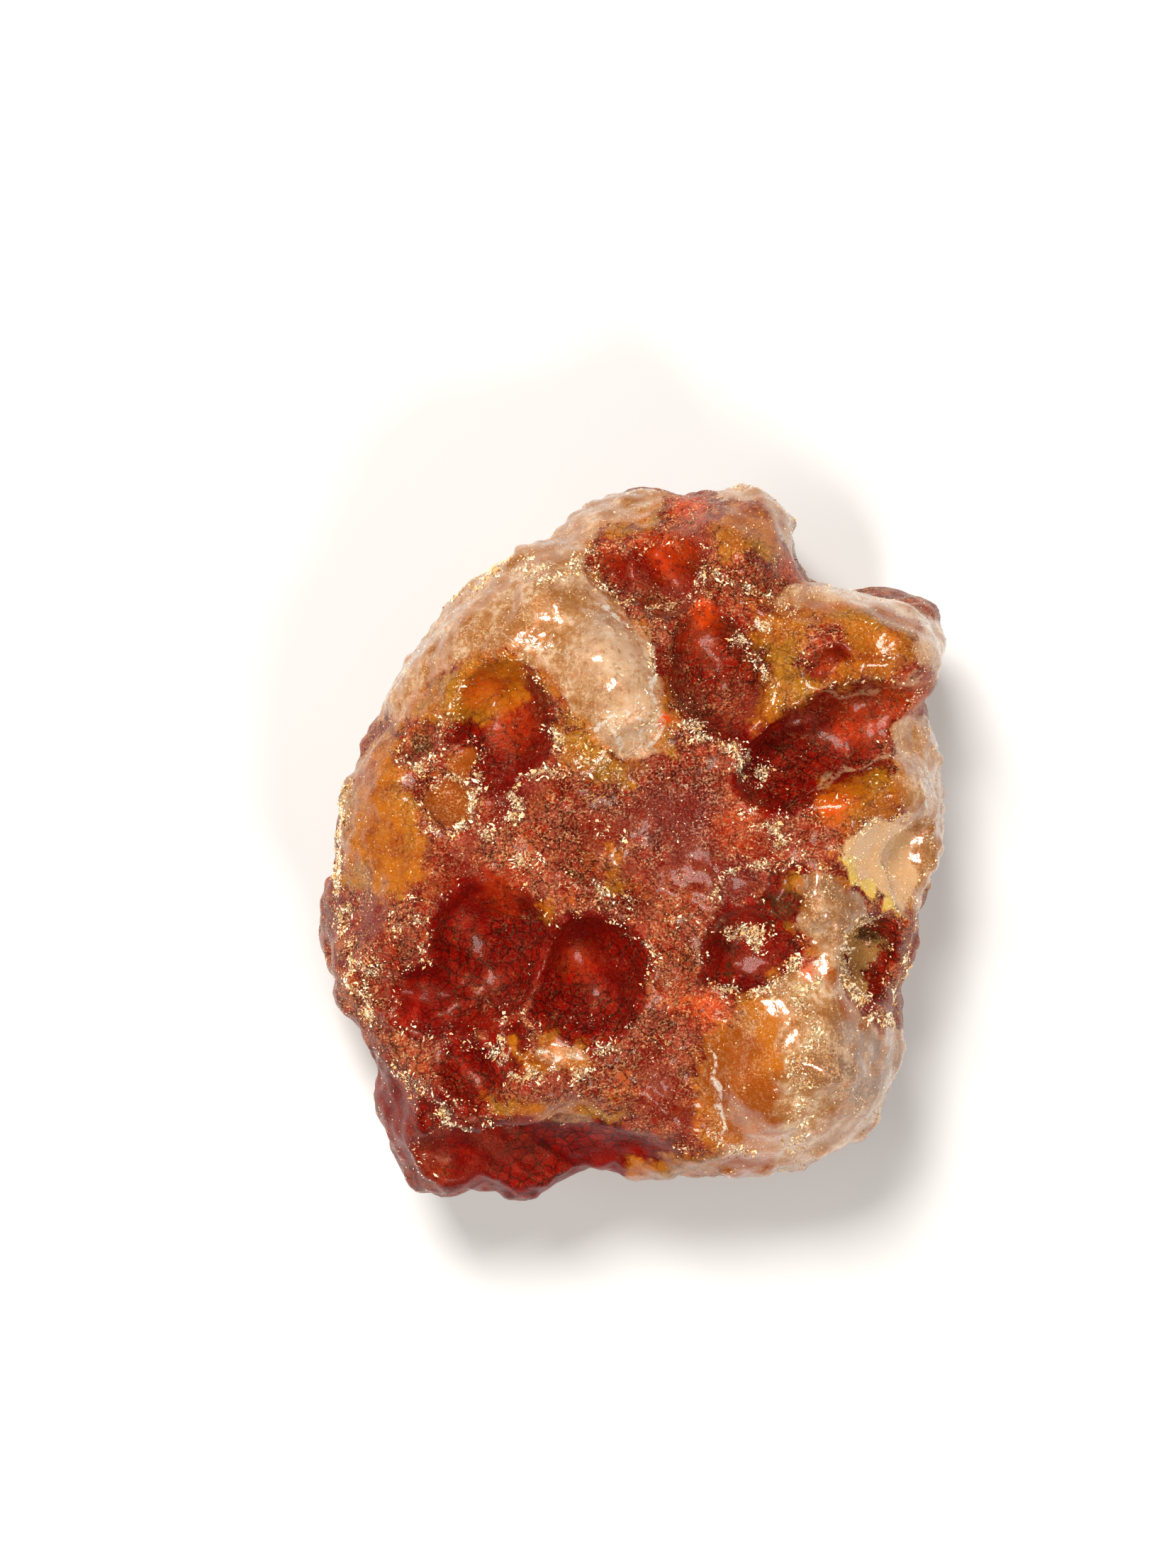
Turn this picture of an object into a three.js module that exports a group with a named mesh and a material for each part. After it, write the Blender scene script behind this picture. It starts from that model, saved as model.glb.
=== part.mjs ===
import * as THREE from "three";
import { mergeVertices } from "three/addons/utils/BufferGeometryUtils.js";

// Raw copal: one rounded, slab-shaped lump of young fossil tree resin. Its weathered face is eaten
// into bowl-shaped hollows with worn swells between them, and a nose overhangs a groove on one side.
// Millimetres, +Z up. The lump lies on its back, on a worn flat. The origin is on that flat, under
// the middle of the lump; +Y runs along its length and +Z out of its weathered face.

// ---- Driving dimensions ----

const MIDDLE_HEIGHT = 7.4; // from the worn flat up to the widest section
const FACE_RISE = 7.6; // from the widest section up to the weathered face
const BACK_DROP = 8.0; // and down to the back, before the worn flat cuts it
const FULLNESS = 2.5; // 2 is an ellipsoid, and more is a slab with rounded edges
const FIELD_SCALE = 8; // makes the body's field read roughly in millimetres
const SWELL_BLEND = 1.6; // how far a swell runs out into the body
const RIM_BLEND = 0.4; // how far a hollow's rim is rounded over
const FLAT_BLEND = 0.5; // the same round the worn flat
const MESH_SPLITS = 21; // the icosahedron's edges are cut into one more than this many

// The lump's edge as seen on its face: the radius in each direction from the origin, in degrees
// anticlockwise from +X.
const EDGE = [
  [3, 14.5],
  [9, 14.7],
  [18, 14.8],
  [25, 15.6],
  [29, 16.4],
  [32.5, 17.7],
  [37, 18.1],
  [41, 17.5],
  [46, 16.5],
  [52, 15.7],
  [60, 15.8],
  [65, 16.5],
  [70, 17.6],
  [76, 17.1],
  [82, 16.7],
  [90, 16.7],
  [98, 16.1],
  [108, 15.1],
  [120, 14.5],
  [132, 13.9],
  [144, 13.5],
  [156, 13.5],
  [167, 14.0],
  [176, 14.4],
  [187, 14.6],
  [200, 15.7],
  [211, 16.3],
  [221, 16.7],
  [227, 17.6],
  [234, 19.0],
  [239, 19.5],
  [247, 18.2],
  [255, 17.5],
  [260, 16.2],
  [267, 15.9],
  [275, 16.4],
  [284, 16.4],
  [294, 17.3],
  [304, 17.8],
  [311, 17.7],
  [317, 16.6],
  [325, 14.9],
  [333, 14.5],
  [347, 14.4],
];

// Slow waves that the whole form is bent by, in three directions at once: each has its size, its
// pitch and where it starts.
const BENDS = [
  { size: 0.3, pitch: 0.55, start: 0.4 },
  { size: 0.22, pitch: 1.3, start: 2 },
];

// Worn swells that stand out of the body: each is an ellipsoid at a point, with its three radii and
// a turn about +Z in degrees.
const SWELLS = [
  { name: "shoulder", at: [-5.3, 9.4, 8.9], radii: [6.2, 2.9, 6.0], turn: 38 },
  { name: "tongue", at: [-1.9, 7.4, 11.0], radii: [4.6, 2.9, 5.2], turn: -52 },
  { name: "top knob", at: [5.0, 13.2, 9.6], radii: [2.5, 2.7, 5.0], turn: 0 },
  { name: "nose", at: [9.3, 9.2, 11.9], radii: [4.8, 2.2, 3.4], turn: -4 },
  { name: "groove lip", at: [10.6, 1.9, 11.0], radii: [3.2, 1.5, 3.6], turn: 20 },
  { name: "saddle", at: [8.7, -2.4, 11.6], radii: [1.5, 3.4, 3.3], turn: 14 },
  { name: "lower corner", at: [7.4, -9.6, 9.6], radii: [4.4, 5.0, 6.2], turn: 8 },
  { name: "left flank", at: [-10.6, -1.6, 8.8], radii: [2.6, 6.2, 5.2], turn: 6 },
  { name: "lower shoulder", at: [-8.8, -12.4, 8.6], radii: [2.6, 2.6, 5.0], turn: 0 },
  { name: "shelf", at: [-4.6, -11.4, 11.9], radii: [4.4, 1.2, 2.8], turn: 3 },
  { name: "bowl wall", at: [-1.6, -2.2, 11.8], radii: [3.6, 1.0, 3.1], turn: 24 },
  { name: "back rise", at: [-3.0, 5.0, 4.0], radii: [7.0, 6.0, 4.4], turn: 30 },
  { name: "back heel", at: [4.0, -6.0, 4.2], radii: [6.5, 5.5, 4.6], turn: -20 },
];

// Bowls eaten into the surface. facing is the direction that a bowl opens in: its bearing and its
// height over the horizon, in degrees. at is a point inside the lump, below the middle of its mouth.
// radii are the mouth's, along and across its turn.
const FACE = [-90, 90];
const BACK = [-90, -90];
const UNDER_NOSE = [-80, 62];
const HOLLOWS = [
  { name: "middle dish", facing: FACE, at: [2.2, 0.6, 9], radii: [5.4, 4.2], turn: -20, depth: 1.2 },
  { name: "top bowl", facing: [-85, 72], at: [1.4, 13.9, 10], radii: [1.6, 2.0], turn: 0, depth: 1.7 },
  { name: "top pit", facing: [-60, 78], at: [-1.3, 13.6, 10], radii: [1.2, 1.4], turn: 10, depth: 1.0 },
  { name: "upper bowl", facing: [-75, 72], at: [3.2, 9.2, 11], radii: [2.2, 3.1], turn: 8, depth: 2.4 },
  { name: "nose pit", facing: [-90, 76], at: [8.6, 8.9, 11], radii: [1.1, 1.2], turn: 0, depth: 0.9 },
  { name: "nose stain", facing: FACE, at: [10.6, 9.4, 9], radii: [1.0, 0.8], turn: 0, depth: 0.4 },
  { name: "groove", facing: UNDER_NOSE, at: [9.4, 6.4, 11], radii: [4.8, 2.1], turn: 14, depth: 2.6 },
  { name: "groove foot", facing: [-90, 80], at: [7.3, 5.1, 10], radii: [2.2, 1.9], turn: 0, depth: 1.5 },
  { name: "right pit", facing: [-80, 84], at: [10.9, -5.2, 9], radii: [2.0, 1.6], turn: 80, depth: 2.8 },
  { name: "plugged bowl", facing: [-100, 80], at: [5.3, -4.3, 11], radii: [2.2, 2.1], turn: 0, depth: 1.5 },
  { name: "dark notch", facing: FACE, at: [6.7, -2.7, 9], radii: [0.9, 1.5], turn: -20, depth: 0.6 },
  { name: "deep bowl", facing: [-85, 76], at: [-2.4, -5.5, 11], radii: [2.6, 3.1], turn: 0, depth: 2.8 },
  { name: "left bowl", facing: [-80, 68], at: [-7.5, -3.0, 10], radii: [2.8, 3.5], turn: -10, depth: 1.9 },
  { name: "left trough", facing: [-80, 72], at: [-10.0, -6.2, 9], radii: [2.9, 1.6], turn: -8, depth: 1.2 },
  { name: "small bowl", facing: [-90, 80], at: [-7.8, -9.9, 9], radii: [1.5, 1.5], turn: 0, depth: 1.1 },
  { name: "small pit", facing: FACE, at: [-5.9, -9.5, 8], radii: [1.1, 0.8], turn: 70, depth: 0.6 },
  { name: "corner pit", facing: FACE, at: [-9.6, -13.2, 7], radii: [0.9, 0.8], turn: 60, depth: 0.8 },
  { name: "amber bowl", facing: [-110, 74], at: [-6.1, 6.7, 10], radii: [2.3, 2.9], turn: 20, depth: 1.7 },
  { name: "tan pit", facing: FACE, at: [-10.0, 4.6, 8], radii: [1.0, 0.9], turn: 60, depth: 0.9 },
  { name: "tan pit twin", facing: FACE, at: [-8.2, 3.9, 8], radii: [1.1, 0.8], turn: 10, depth: 1.0 },
  { name: "tan pit foot", facing: FACE, at: [-8.7, 2.0, 8], radii: [1.5, 1.2], turn: 110, depth: 1.4 },
  { name: "upper trough", facing: FACE, at: [-3.4, 0.8, 9], radii: [3.2, 2.2], turn: -30, depth: 0.8 },
  { name: "lower slope", facing: [-96, 60], at: [-3.2, -13.2, 8], radii: [6.6, 2.4], turn: 0, depth: 0.9 },
  { name: "right chip", facing: [-6, 62], at: [12.0, -1.2, 8], radii: [2.4, 2.3], turn: 0, depth: 0.7 },
  { name: "top notch", facing: [56, 20], at: [7.0, 10.6, 7.4], radii: [2.2, 3.0], turn: 0, depth: 1.0 },
  { name: "left side bowl", facing: [185, -5], at: [0, 0, 4.6], radii: [4.4, 2.3], turn: 8, depth: 1.2 },
  { name: "left side pit", facing: [140, -5], at: [0, 0, 4.2], radii: [3.4, 2.2], turn: -6, depth: 1.3 },
  { name: "top side bowl", facing: [88, -5], at: [0, 0, 4.8], radii: [3.2, 2.2], turn: 4, depth: 1.3 },
  { name: "right side bowl", facing: [5, -5], at: [0, 0, 4.2], radii: [3.8, 2.2], turn: -5, depth: 1.3 },
  { name: "corner side bowl", facing: [308, -5], at: [0, 0, 5.0], radii: [3.2, 2.2], turn: 0, depth: 1.2 },
  { name: "lower side bowl", facing: [252, -5], at: [0, 0, 4.6], radii: [3.8, 2.1], turn: 5, depth: 1.3 },
  { name: "back bowl", facing: BACK, at: [-8.6, -5.6, 5], radii: [3.4, 2.6], turn: 60, depth: 1.5 },
  { name: "back dish", facing: BACK, at: [7.6, 6.4, 5], radii: [3.8, 3.0], turn: 35, depth: 1.5 },
  { name: "back pit", facing: BACK, at: [-4.6, 11.0, 5], radii: [2.4, 2.0], turn: 0, depth: 1.2 },
  { name: "back trough", facing: BACK, at: [2.0, -12.0, 5], radii: [3.4, 1.9], turn: 10, depth: 1.2 },
  { name: "back corner pit", facing: BACK, at: [10.2, -3.4, 5], radii: [2.0, 2.2], turn: 0, depth: 1.1 },
];

// ---- The lump as a field: negative inside, zero on the surface ----

const radians = THREE.MathUtils.degToRad;

// The edge's radius at an angle in degrees, on a smooth closed curve through EDGE.
function edgeRadius(angle) {
  const count = EDGE.length;
  const next = EDGE.findIndex(([bearing]) => bearing > angle);
  const last = (next < 0 ? count : next) - 1;
  const at = (k) => {
    const lap = Math.floor(k / count);
    const [bearing, radius] = EDGE[k - lap * count];
    return [bearing + 360 * lap, radius];
  };
  const [a0, r0] = at(last - 1);
  const [a1, r1] = at(last);
  const [a2, r2] = at(last + 1);
  const [a3, r3] = at(last + 2);
  const t = (angle - a1) / (a2 - a1);
  const rest = 1 - t;
  const slope1 = ((r2 - r0) / (a2 - a0)) * (a2 - a1);
  const slope2 = ((r3 - r1) / (a3 - a1)) * (a2 - a1);
  const start = (1 + 2 * t) * rest * rest * r1 + t * rest * rest * slope1;
  const end = t * t * (3 - 2 * t) * r2 - t * t * rest * slope2;
  return start + end;
}

function smoothMin(a, b, blend) {
  const h = Math.max(blend - Math.abs(a - b), 0) / blend;
  return Math.min(a, b) - (h * h * blend) / 4;
}

function smoothMax(a, b, blend) {
  return -smoothMin(-a, -b, blend);
}

// Roughly the distance to an ellipsoid's surface, from a point in its own axes.
function ellipsoid(x, y, z, [rx, ry, rz]) {
  const k0 = Math.hypot(x / rx, y / ry, z / rz);
  const k1 = Math.hypot(x / rx ** 2, y / ry ** 2, z / rz ** 2);
  return k1 > 0 ? (k0 * (k0 - 1)) / k1 : -Math.min(rx, ry, rz);
}

// Slow bends in the space that the forms are drawn in, so that none is a perfect ellipsoid.
function bend(point) {
  const { sin, cos } = Math;
  let bent = point;
  for (const { size, pitch, start } of BENDS) {
    const [x, y, z] = bent.map((value) => value * pitch);
    bent = [
      bent[0] + size * sin(y + start) * cos(0.8 * z),
      bent[1] + size * sin(z + start + 1) * cos(0.8 * x),
      bent[2] + size * sin(x + start + 2) * cos(0.8 * y),
    ];
  }
  return bent;
}

const swells = SWELLS.map(({ at, radii, turn }) => {
  return { at, radii, cos: Math.cos(radians(turn)), sin: Math.sin(radians(turn)) };
});

function body([x, y, z]) {
  const angle = (THREE.MathUtils.radToDeg(Math.atan2(y, x)) + 360) % 360;
  const outward = Math.hypot(x, y) / edgeRadius(angle);
  const up = z - MIDDLE_HEIGHT;
  const upward = Math.abs(up) / (up > 0 ? FACE_RISE : BACK_DROP);
  const slab = (outward ** FULLNESS + upward ** FULLNESS) ** (1 / FULLNESS) - 1;
  let field = slab * FIELD_SCALE;
  for (const { at, radii, cos, sin } of swells) {
    const dx = x - at[0];
    const dy = y - at[1];
    const swell = ellipsoid(dx * cos + dy * sin, dy * cos - dx * sin, z - at[2], radii);
    field = smoothMin(field, swell, SWELL_BLEND);
  }
  return field;
}

// Where the body's surface lies, coming in from outside to a point along a direction.
function mouthOf(inside, out) {
  const along = (distance) => inside.clone().addScaledVector(out, distance);
  const isOutside = (distance) => body(along(distance).toArray()) > 0;
  let outer = 25;
  while (outer > 0 && isOutside(outer)) outer -= 0.2;
  let inner = outer;
  outer += 0.2;
  for (let step = 0; step < 12; step++) {
    const middle = (inner + outer) / 2;
    if (isOutside(middle)) outer = middle;
    else inner = middle;
  }
  return along(inner);
}

// A bowl is the lower part of an ellipsoid, whose middle stands half the bowl's depth over the mouth.
const RAISED = 0.5;
const bowls = HOLLOWS.map(({ facing, at, radii, turn, depth }) => {
  const [bearing, height] = facing.map(radians);
  const level = Math.cos(height);
  const out = new THREE.Vector3(
    level * Math.cos(bearing),
    level * Math.sin(bearing),
    Math.sin(height),
  );
  const side = new THREE.Vector3(-Math.sin(bearing), Math.cos(bearing), 0);
  const along = side.clone().applyAxisAngle(out, radians(turn));
  const across = new THREE.Vector3().crossVectors(out, along);
  const raise = RAISED * depth;
  const high = depth + raise;
  const spread = 1 / Math.sqrt(1 - (raise / high) ** 2);
  const middle = mouthOf(new THREE.Vector3(...at), out).addScaledVector(out, raise);
  return { along, across, out, middle, radii: [radii[0] * spread, radii[1] * spread, high] };
});

// depth runs from 0, for the lump before it was eaten away, to 1.
function lump(point, depth) {
  const bent = bend(point);
  const whole = body(bent);
  let field = whole;
  for (const { along, across, out, middle, radii } of bowls) {
    const x = bent[0] - middle.x;
    const y = bent[1] - middle.y;
    const z = bent[2] - middle.z;
    if (Math.hypot(x, y, z) > Math.max(...radii) + 1) continue;
    const u = x * along.x + y * along.y + z * along.z;
    const v = x * across.x + y * across.y + z * across.z;
    const w = x * out.x + y * out.y + z * out.z;
    field = smoothMax(field, -ellipsoid(u, v, w, radii), RIM_BLEND);
  }
  return smoothMax(whole + depth * (field - whole), -point[2], FLAT_BLEND);
}

// ---- The mesh: a ball of even triangles drawn onto the surface ----

const CORNERS = [
  [1, -1, -1],
  [-1, -1, 1],
  [-1, 1, -1],
  [1, 1, 1],
];
const REACH = 0.05;

// The field at a point, and its slope into slope, from four nearby samples.
function fieldAndSlope(point, depth, slope) {
  let sum = 0;
  slope.set(0, 0, 0);
  for (const [x, y, z] of CORNERS) {
    const sample = lump([point.x + x * REACH, point.y + y * REACH, point.z + z * REACH], depth);
    slope.x += x * sample;
    slope.y += y * sample;
    slope.z += z * sample;
    sum += sample;
  }
  slope.divideScalar(4 * REACH);
  return sum / 4;
}

// The vertices next to each vertex, from a geometry's index.
function neighboursOf(geometry) {
  const neighbours = Array.from({ length: geometry.attributes.position.count }, () => new Set());
  const index = geometry.index.array;
  for (let i = 0; i < index.length; i += 3) {
    for (let corner = 0; corner < 3; corner++) {
      const a = index[i + corner];
      const b = index[i + ((corner + 1) % 3)];
      neighbours[a].add(b);
      neighbours[b].add(a);
    }
  }
  return neighbours.map((set) => [...set]);
}

// Moves each point to the surface, and then evens out the points' spacing along it.
function drawOnto(points, neighbours, depth, evening) {
  const normal = new THREE.Vector3();
  const pull = new THREE.Vector3();
  points.forEach((point, i) => {
    const field = fieldAndSlope(point, depth, normal);
    const steep = Math.max(normal.length(), 0.3);
    normal.divideScalar(steep);
    point.addScaledVector(normal, -THREE.MathUtils.clamp(field / steep, -1, 1));
    if (evening === 0) return;
    // The further off a neighbour is, the harder it pulls.
    pull.set(0, 0, 0);
    let weights = 0;
    for (const other of neighbours[i]) {
      const weight = point.distanceTo(points[other]);
      pull.addScaledVector(points[other], weight);
      weights += weight;
    }
    pull.divideScalar(weights).sub(point);
    pull.addScaledVector(normal, -pull.dot(normal));
    point.addScaledVector(pull, evening);
  });
}

function lumpGeometry() {
  const ball = new THREE.IcosahedronGeometry(1, MESH_SPLITS);
  ball.deleteAttribute("normal");
  ball.deleteAttribute("uv");
  const geometry = mergeVertices(ball, 1e-5);
  geometry.scale(14, 16, 7.4);
  geometry.translate(0, 0, MIDDLE_HEIGHT);
  const position = geometry.attributes.position;
  const points = Array.from({ length: position.count }, (_, i) =>
    new THREE.Vector3().fromBufferAttribute(position, i),
  );
  const neighbours = neighboursOf(geometry);
  const rounds = 40;
  for (let round = 0; round < rounds; round++) {
    drawOnto(points, neighbours, Math.min(1, (1.5 * round) / rounds), 0.6);
  }
  for (let round = 0; round < 4; round++) drawOnto(points, neighbours, 1, 0);
  // The worn flat is one true plane.
  for (const point of points) if (point.z < 0.02) point.z = 0;
  points.forEach((point, i) => position.setXYZ(i, point.x, point.y, point.z));
  geometry.computeVertexNormals();
  return geometry;
}

// ---- The object ----

const resin = new THREE.MeshStandardMaterial({ color: 0x9a3a16, roughness: 0.35, metalness: 0 });

const copal = new THREE.Mesh(lumpGeometry(), resin);
copal.name = "copal";

const rawCopal = new THREE.Group();
rawCopal.add(copal);

export default rawCopal;
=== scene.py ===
import math

import bmesh
import bpy
import numpy as np
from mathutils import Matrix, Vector


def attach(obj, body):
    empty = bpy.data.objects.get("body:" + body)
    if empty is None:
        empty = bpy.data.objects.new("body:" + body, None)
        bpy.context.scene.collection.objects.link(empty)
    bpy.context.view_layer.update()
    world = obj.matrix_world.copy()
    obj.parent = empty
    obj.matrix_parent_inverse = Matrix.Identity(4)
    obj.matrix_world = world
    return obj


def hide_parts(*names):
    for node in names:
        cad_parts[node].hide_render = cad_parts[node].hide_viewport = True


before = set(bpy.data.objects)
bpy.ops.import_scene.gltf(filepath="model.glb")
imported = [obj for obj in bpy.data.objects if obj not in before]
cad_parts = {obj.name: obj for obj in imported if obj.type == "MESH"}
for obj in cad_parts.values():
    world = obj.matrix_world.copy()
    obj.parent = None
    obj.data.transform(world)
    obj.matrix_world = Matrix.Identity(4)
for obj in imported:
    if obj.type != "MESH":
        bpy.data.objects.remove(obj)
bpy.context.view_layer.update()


# ---- The lump: its form ----
# Raw copal is hardened tree resin, in one piece. Soil and water wore its swells smooth, and ate
# bowls into it between them. The solid's own triangles are divided and drawn onto the same form,
# with its finer relief added. Lengths here are in millimetres.

MM = 0.001
MIDDLE_HEIGHT = 7.4
FACE_RISE = 7.6
BACK_DROP = 8.0
FULLNESS = 2.5
FIELD_SCALE = 8
SWELL_BLEND = 1.6
RIM_BLEND = 0.4
FLAT_BLEND = 0.5
# height, spacing and seed of each ripple of the finer relief
BROAD_RIPPLE = (0.08, 3.0, 13)
FINE_RIPPLES = [(0.035, 1.3, 11), (0.02, 0.7, 12)]
# How many times each edge of the solid is cut, and how often its points are drawn onto the form:
# first while they are spread evenly, then without.
CUTS = 3
EVENING_ROUNDS = 4
LAST_ROUNDS = 2
# The edge, as seen from above: bearing in degrees and radius.
EDGE = [
    (3, 14.5), (9, 14.7), (18, 14.8), (25, 15.6), (29, 16.4), (32.5, 17.7), (37, 18.1),
    (41, 17.5), (46, 16.5), (52, 15.7), (60, 15.8), (65, 16.5), (70, 17.6), (76, 17.1),
    (82, 16.7), (90, 16.7), (98, 16.1), (108, 15.1), (120, 14.5), (132, 13.9),
    (144, 13.5), (156, 13.5), (167, 14.0), (176, 14.4), (187, 14.6), (200, 15.7),
    (211, 16.3), (221, 16.7), (227, 17.6), (234, 19.0), (239, 19.5), (247, 18.2),
    (255, 17.5), (260, 16.2), (267, 15.9), (275, 16.4), (284, 16.4), (294, 17.3),
    (304, 17.8), (311, 17.7), (317, 16.6), (325, 14.9), (333, 14.5), (347, 14.4),
]  # fmt: skip
# size, pitch and start of each bend of the space that the forms are drawn in
BENDS = [(0.3, 0.55, 0.4), (0.22, 1.3, 2.0)]
# name: middle, radii, turn about +Z
SWELLS = {
    "shoulder": ((-5.3, 9.4, 8.9), (6.2, 2.9, 6.0), 38),
    "tongue": ((-1.9, 7.4, 11.0), (4.6, 2.9, 5.2), -52),
    "top knob": ((5.0, 13.2, 9.6), (2.5, 2.7, 5.0), 0),
    "nose": ((9.3, 9.2, 11.9), (4.8, 2.2, 3.4), -4),
    "groove lip": ((10.6, 1.9, 11.0), (3.2, 1.5, 3.6), 20),
    "saddle": ((8.7, -2.4, 11.6), (1.5, 3.4, 3.3), 14),
    "lower corner": ((7.4, -9.6, 9.6), (4.4, 5.0, 6.2), 8),
    "left flank": ((-10.6, -1.6, 8.8), (2.6, 6.2, 5.2), 6),
    "lower shoulder": ((-8.8, -12.4, 8.6), (2.6, 2.6, 5.0), 0),
    "shelf": ((-4.6, -11.4, 11.9), (4.4, 1.2, 2.8), 3),
    "bowl wall": ((-1.6, -2.2, 11.8), (3.6, 1.0, 3.1), 24),
    "back rise": ((-3.0, 5.0, 4.0), (7.0, 6.0, 4.4), 30),
    "back heel": ((4.0, -6.0, 4.2), (6.5, 5.5, 4.6), -20),
}
FACE = (-90, 90)
BACK = (-90, -90)
UNDER_NOSE = (-80, 62)
# name: the bearing and height that it faces, a point below its mouth, the mouth's radii, its turn
# and its depth
HOLLOWS = {
    "middle dish": (FACE, (2.2, 0.6, 9), (5.4, 4.2), -20, 1.2),
    "top bowl": ((-85, 72), (1.4, 13.9, 10), (1.6, 2.0), 0, 1.7),
    "top pit": ((-60, 78), (-1.3, 13.6, 10), (1.2, 1.4), 10, 1.0),
    "upper bowl": ((-75, 72), (3.2, 9.2, 11), (2.2, 3.1), 8, 2.4),
    "nose pit": ((-90, 76), (8.6, 8.9, 11), (1.1, 1.2), 0, 0.9),
    "nose stain": (FACE, (10.6, 9.4, 9), (1.0, 0.8), 0, 0.4),
    "groove": (UNDER_NOSE, (9.4, 6.4, 11), (4.8, 2.1), 14, 2.6),
    "groove foot": ((-90, 80), (7.3, 5.1, 10), (2.2, 1.9), 0, 1.5),
    "right pit": ((-80, 84), (10.9, -5.2, 9), (2.0, 1.6), 80, 2.8),
    "plugged bowl": ((-100, 80), (5.3, -4.3, 11), (2.2, 2.1), 0, 1.5),
    "dark notch": (FACE, (6.7, -2.7, 9), (0.9, 1.5), -20, 0.6),
    "deep bowl": ((-85, 76), (-2.4, -5.5, 11), (2.6, 3.1), 0, 2.8),
    "left bowl": ((-80, 68), (-7.5, -3.0, 10), (2.8, 3.5), -10, 1.9),
    "left trough": ((-80, 72), (-10.0, -6.2, 9), (2.9, 1.6), -8, 1.2),
    "small bowl": ((-90, 80), (-7.8, -9.9, 9), (1.5, 1.5), 0, 1.1),
    "small pit": (FACE, (-5.9, -9.5, 8), (1.1, 0.8), 70, 0.6),
    "corner pit": (FACE, (-9.6, -13.2, 7), (0.9, 0.8), 60, 0.8),
    "amber bowl": ((-110, 74), (-6.1, 6.7, 10), (2.3, 2.9), 20, 1.7),
    "tan pit": (FACE, (-10.0, 4.6, 8), (1.0, 0.9), 60, 0.9),
    "tan pit twin": (FACE, (-8.2, 3.9, 8), (1.1, 0.8), 10, 1.0),
    "tan pit foot": (FACE, (-8.7, 2.0, 8), (1.5, 1.2), 110, 1.4),
    "upper trough": (FACE, (-3.4, 0.8, 9), (3.2, 2.2), -30, 0.8),
    "lower slope": ((-96, 60), (-3.2, -13.2, 8), (6.6, 2.4), 0, 0.9),
    "right chip": ((-6, 62), (12.0, -1.2, 8), (2.4, 2.3), 0, 0.7),
    "top notch": ((56, 20), (7.0, 10.6, 7.4), (2.2, 3.0), 0, 1.0),
    "left side bowl": ((185, -5), (0, 0, 4.6), (4.4, 2.3), 8, 1.2),
    "left side pit": ((140, -5), (0, 0, 4.2), (3.4, 2.2), -6, 1.3),
    "top side bowl": ((88, -5), (0, 0, 4.8), (3.2, 2.2), 4, 1.3),
    "right side bowl": ((5, -5), (0, 0, 4.2), (3.8, 2.2), -5, 1.3),
    "corner side bowl": ((308, -5), (0, 0, 5.0), (3.2, 2.2), 0, 1.2),
    "lower side bowl": ((252, -5), (0, 0, 4.6), (3.8, 2.1), 5, 1.3),
    "back bowl": (BACK, (-8.6, -5.6, 5), (3.4, 2.6), 60, 1.5),
    "back dish": (BACK, (7.6, 6.4, 5), (3.8, 3.0), 35, 1.5),
    "back pit": (BACK, (-4.6, 11.0, 5), (2.4, 2.0), 0, 1.2),
    "back trough": (BACK, (2.0, -12.0, 5), (3.4, 1.9), 10, 1.2),
    "back corner pit": (BACK, (10.2, -3.4, 5), (2.0, 2.2), 0, 1.1),
}


def edge_radius(angle):
    """The edge's radius at angles in degrees from 0 to 360, on a smooth closed curve."""
    bearings, radii = np.array(EDGE).T
    bearings = np.concatenate([bearings[-2:] - 360, bearings, bearings[:2] + 360])
    radii = np.concatenate([radii[-2:], radii, radii[:2]])
    slopes = np.zeros(len(radii))
    slopes[1:-1] = (radii[2:] - radii[:-2]) / (bearings[2:] - bearings[:-2])
    i = np.searchsorted(bearings, angle, side="right") - 1
    span = bearings[i + 1] - bearings[i]
    t = (angle - bearings[i]) / span
    rest = 1 - t
    start = (1 + 2 * t) * rest**2 * radii[i] + t * rest**2 * slopes[i] * span
    end = t**2 * (3 - 2 * t) * radii[i + 1] - t**2 * rest * slopes[i + 1] * span
    return start + end


def smooth_min(a, b, blend):
    h = np.maximum(blend - np.abs(a - b), 0) / blend
    return np.minimum(a, b) - h * h * blend / 4


def smooth_max(a, b, blend):
    return -smooth_min(-a, -b, blend)


def smoothstep(low, high, value):
    t = np.clip((value - low) / (high - low), 0, 1)
    return t * t * (3 - 2 * t)


def ellipsoid(x, y, z, radii):
    """Roughly the distance to an ellipsoid's surface."""
    rx, ry, rz = radii
    k0 = np.sqrt((x / rx) ** 2 + (y / ry) ** 2 + (z / rz) ** 2)
    k1 = np.sqrt((x / rx**2) ** 2 + (y / ry**2) ** 2 + (z / rz**2) ** 2)
    return k0 * (k0 - 1) / np.maximum(k1, 1e-9)


def bend(p):
    """Bends the space that the forms are drawn in, so that none is a perfect ellipsoid."""
    for size, pitch, start in BENDS:
        x, y, z = p.T * pitch
        shift = [
            np.sin(y + start) * np.cos(0.8 * z),
            np.sin(z + start + 1) * np.cos(0.8 * x),
            np.sin(x + start + 2) * np.cos(0.8 * y),
        ]
        p = p + size * np.stack(shift, axis=1)
    return p


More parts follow.
